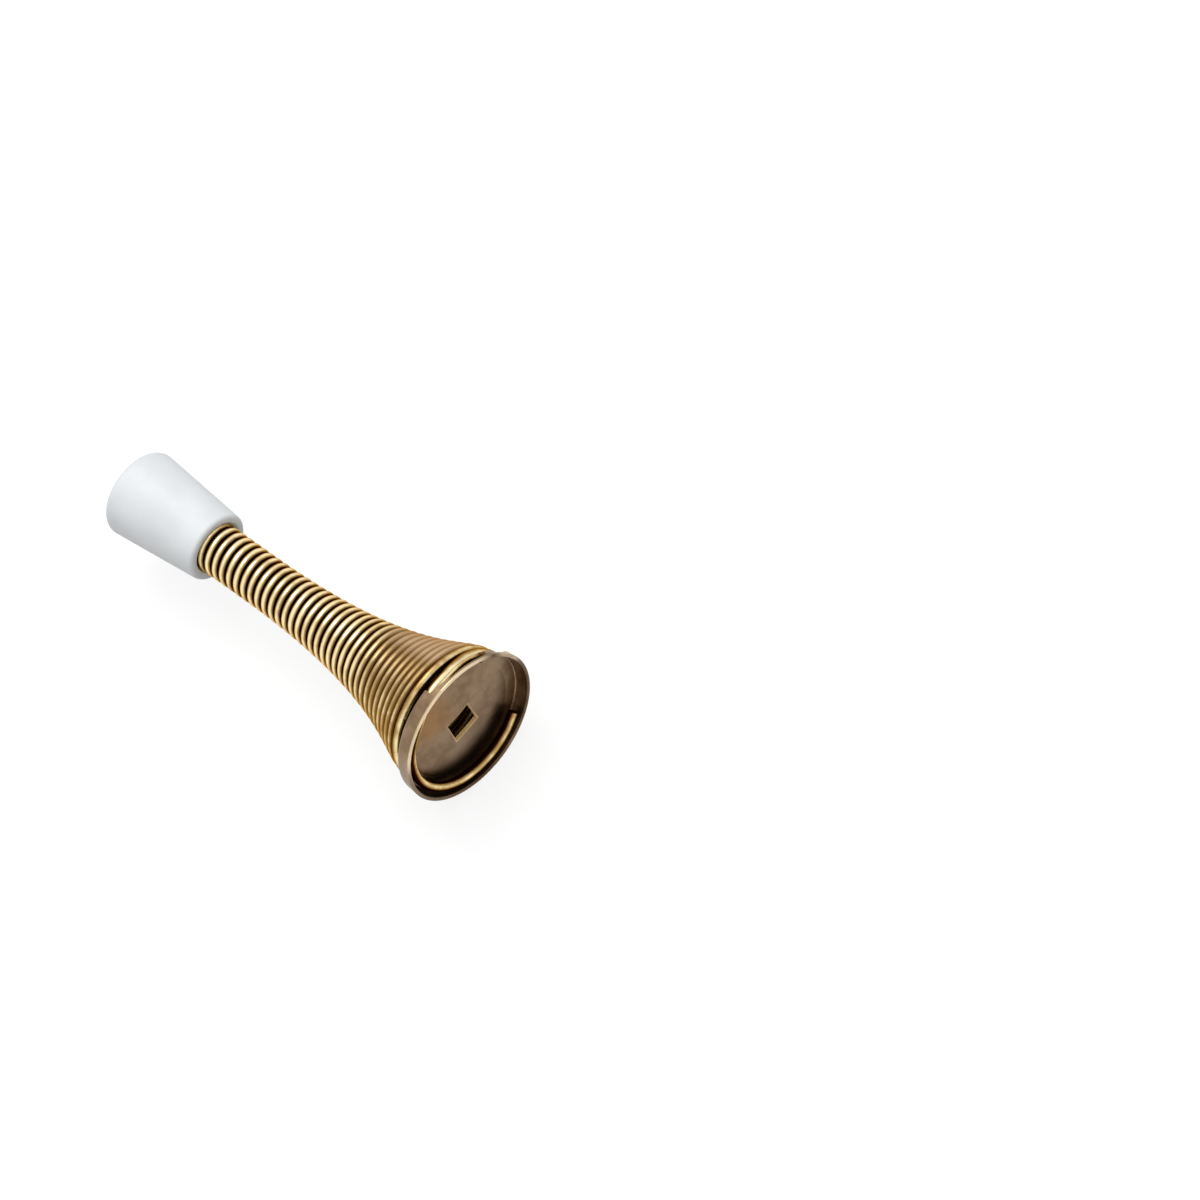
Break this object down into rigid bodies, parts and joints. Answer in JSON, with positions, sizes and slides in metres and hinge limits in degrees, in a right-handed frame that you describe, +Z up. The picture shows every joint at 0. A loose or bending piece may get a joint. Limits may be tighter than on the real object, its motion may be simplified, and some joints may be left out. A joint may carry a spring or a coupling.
{
  "type": "spring door stop",
  "caption": "Flared close-wound spring on a round pressed base cup with a square screw hole, and a tapered rubber tip that stops a door.",
  "frame": {"origin": "centre of the base cup's open edge, in the plane that lies on the wall", "axes": "+X along the spring's axis, from the wall to the tip; +Z up, square to one pair of sides of the screw hole"},
  "size_m": [0.0808, 0.0286, 0.0286],
  "materials": {
    "plated_sheet": "antique brass plate, darkened and satin",
    "plated_wire": "antique brass plate, bright on the crowns of the turns",
    "white_rubber": "smooth white moulded rubber"
  },
  "bodies": {
    "root": {"base_cup": "plated_sheet", "coil_spring": "plated_wire", "rubber_tip": "white_rubber"}
  },
  "joints": []
}
